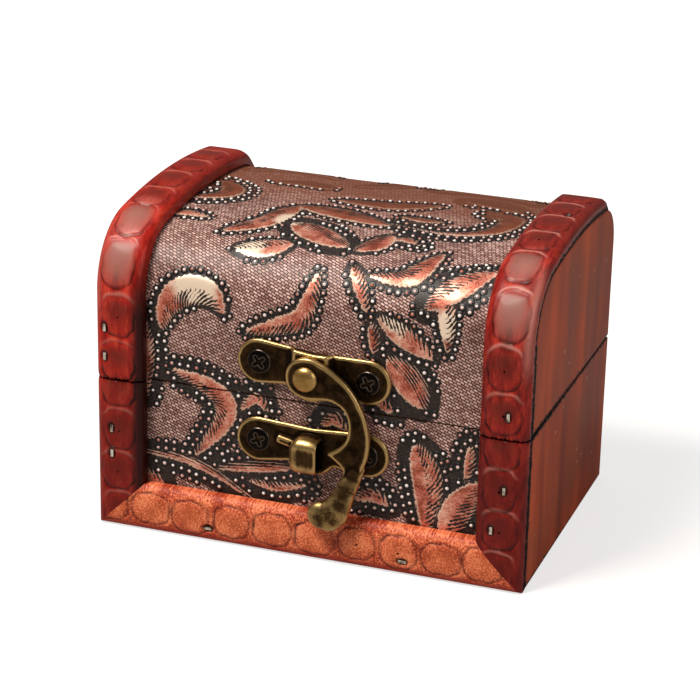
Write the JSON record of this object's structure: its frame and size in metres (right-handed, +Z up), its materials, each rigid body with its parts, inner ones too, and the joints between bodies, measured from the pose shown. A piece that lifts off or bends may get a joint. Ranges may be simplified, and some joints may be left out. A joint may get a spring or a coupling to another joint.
{
  "type": "keepsake box",
  "caption": "Small wooden keepsake box with a rounded hinged lid, carved lacquered strips, embossed leatherette and a swing-hook latch.",
  "frame": {"origin": "middle of the base's underside, halfway between the end panels and halfway between their front and back edges", "axes": "+X to the right as seen from the front, along the box's width; +Y from the latch side to the hinge side; +Z up, square to the underside"},
  "size_m": [0.0906, 0.0703, 0.0673],
  "materials": {
    "lacquered_strip": "carved hardwood under red translucent lacquer, glossy",
    "foot_strip": "carved hardwood, thin orange-red stain, satin",
    "stained_panel": "sawn board stained dark red, satin",
    "raw_board": "plain thin board, lightly stained, matte",
    "leatherette": "embossed woven-look leatherette with coppery foil and dark outlines",
    "antique_brass": "pressed brass, darkened, rubbed bright on its edges",
    "black_steel": "blackened steel, satin",
    "bright_steel": "plain steel wire"
  },
  "bodies": {
    "base": {"base_left_end_panel": "stained_panel", "base_right_end_panel": "stained_panel", "base_front_board": "raw_board", "base_back_board": "raw_board", "bottom_board": "raw_board", "base_front_cover": "leatherette", "base_back_cover": "leatherette", "base_left_trim": "lacquered_strip", "base_right_trim": "lacquered_strip", "bottom_front_trim": "foot_strip", "base_left_upper_brad": "bright_steel", "base_left_lower_brad": "bright_steel", "base_right_upper_brad": "bright_steel", "base_right_lower_brad": "bright_steel", "foot_left_brad": "bright_steel", "foot_right_brad": "bright_steel", "keeper_plate": "antique_brass", "keeper_left_screw": "black_steel", "keeper_right_screw": "black_steel", "left_hinge_base_leaf": "antique_brass", "left_hinge_base_left_nail": "antique_brass", "left_hinge_base_right_nail": "antique_brass", "left_hinge_pin": "antique_brass", "right_hinge_base_leaf": "antique_brass", "right_hinge_base_left_nail": "antique_brass", "right_hinge_base_right_nail": "antique_brass", "right_hinge_pin": "antique_brass"},
    "lid": {"lid_left_end_panel": "stained_panel", "lid_right_end_panel": "stained_panel", "lid_front_board": "raw_board", "lid_back_board": "raw_board", "lid_top_board": "raw_board", "lid_cover": "leatherette", "lid_left_trim": "lacquered_strip", "lid_right_trim": "lacquered_strip", "lid_left_upper_brad": "bright_steel", "lid_left_lower_brad": "bright_steel", "lid_right_front_brad": "bright_steel", "lid_right_top_brad": "bright_steel", "latch_plate": "antique_brass", "latch_left_screw": "black_steel", "latch_right_screw": "black_steel", "hook_rivet": "antique_brass", "left_hinge_lid_leaf": "antique_brass", "left_hinge_lid_left_nail": "antique_brass", "left_hinge_lid_right_nail": "antique_brass", "right_hinge_lid_leaf": "antique_brass", "right_hinge_lid_left_nail": "antique_brass", "right_hinge_lid_right_nail": "antique_brass"},
    "hook": {"latch_hook": "antique_brass"}
  },
  "joints": [
    {"name": "lid_hinge", "type": "hinge", "parent": "base", "child": "lid", "pos_m": [0, 0.0317, 0.0324], "axis": [-1, 0, 0], "range_deg": [0, 110]},
    {"name": "hook_swing", "type": "hinge", "parent": "lid", "child": "hook", "pos_m": [0.0001, -0.03, 0.0391], "axis": [0, -1, 0], "range_deg": [-12, 100]}
  ]
}
